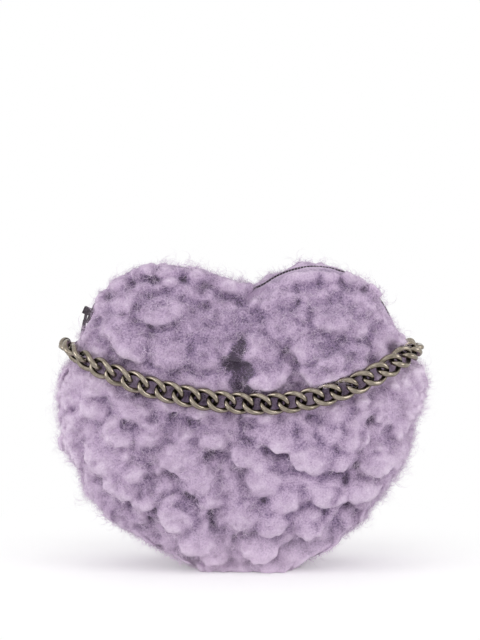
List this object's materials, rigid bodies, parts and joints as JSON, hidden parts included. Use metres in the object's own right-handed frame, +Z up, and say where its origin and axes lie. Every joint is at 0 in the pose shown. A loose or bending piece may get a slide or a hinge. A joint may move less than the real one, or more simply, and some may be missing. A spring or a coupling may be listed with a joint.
{
  "type": "heart shaped purse",
  "caption": "Small heart shaped purse in curly wool with a zip round the lobes, ring tabs at the sides and a twisted curb chain handle draped over the front.",
  "frame": {"origin": "centre of the flat base the purse stands on", "axes": "+X to the right seen from the front, +Y to the back, +Z up; the chain is draped over the front, which faces -Y"},
  "size_m": [0.1636, 0.0701, 0.1347],
  "materials": {
    "wool": "curly lilac wool pile",
    "hide": "lilac dyed suede",
    "lining": "plain woven lining",
    "zip_tape": "woven lilac tape",
    "zip_metal": "dark gunmetal",
    "tab_leather": "lilac dyed leather",
    "chain_metal": "antique nickel, warm grey"
  },
  "bodies": {
    "bag": {"front_wool": "wool", "back_wool": "wool", "gusset_wool": "wool", "front_hide": "hide", "back_hide": "hide", "gusset_hide": "hide", "front_lining": "lining", "back_lining": "lining", "gusset_lining": "lining", "zip_tape_front": "zip_tape", "zip_tape_back": "zip_tape", "zip_teeth_front": "zip_metal", "zip_teeth_back": "zip_metal", "zip_top_stops": "zip_metal", "zip_bottom_stop": "zip_metal", "left_ring_tab": "tab_leather", "right_ring_tab": "tab_leather"},
    "slider": {"zip_slider": "zip_metal"},
    "puller": {"zip_puller": "zip_metal"},
    "left_ring": {"left_ring": "chain_metal"},
    "right_ring": {"right_ring": "chain_metal"},
    "chain": {"chain_link_01": "chain_metal", "chain_link_02": "chain_metal", "chain_link_03": "chain_metal", "chain_link_04": "chain_metal", "chain_link_05": "chain_metal", "chain_link_06": "chain_metal", "chain_link_07": "chain_metal", "chain_link_08": "chain_metal", "chain_link_09": "chain_metal", "chain_link_10": "chain_metal", "chain_link_11": "chain_metal", "chain_link_12": "chain_metal", "chain_link_13": "chain_metal", "chain_link_14": "chain_metal", "chain_link_15": "chain_metal", "chain_link_16": "chain_metal", "chain_link_17": "chain_metal", "chain_link_18": "chain_metal", "chain_link_19": "chain_metal", "chain_link_20": "chain_metal", "chain_link_21": "chain_metal", "chain_link_22": "chain_metal", "chain_link_23": "chain_metal", "chain_link_24": "chain_metal", "chain_link_25": "chain_metal"}
  },
  "joints": [
    {"name": "zip_slide", "type": "hinge", "parent": "bag", "child": "slider", "pos_m": [-0.033, 0, 0.098], "axis": [0, 1, 0], "range_deg": [0, 84], "deforming": ["zip_teeth_front", "zip_teeth_back"]},
    {"name": "puller_flip", "type": "hinge", "parent": "slider", "child": "puller", "pos_m": [-0.06968, 0, 0.11433], "axis": [0, 1, 0], "range_deg": [0, 190]},
    {"name": "left_ring_tilt", "type": "hinge", "parent": "bag", "child": "left_ring", "pos_m": [-0.0726, 0, 0.0985], "axis": [0, 1, 0], "range_deg": [-8, 4]},
    {"name": "right_ring_tilt", "type": "hinge", "parent": "bag", "child": "right_ring", "pos_m": [0.0726, 0, 0.0985], "axis": [0, 1, 0], "range_deg": [-8, 3]},
    {"name": "chain_swing", "type": "hinge", "parent": "bag", "child": "chain", "pos_m": [0, -0.008, 0.0985], "axis": [-1, 0, 0], "range_deg": [0, 60]}
  ]
}
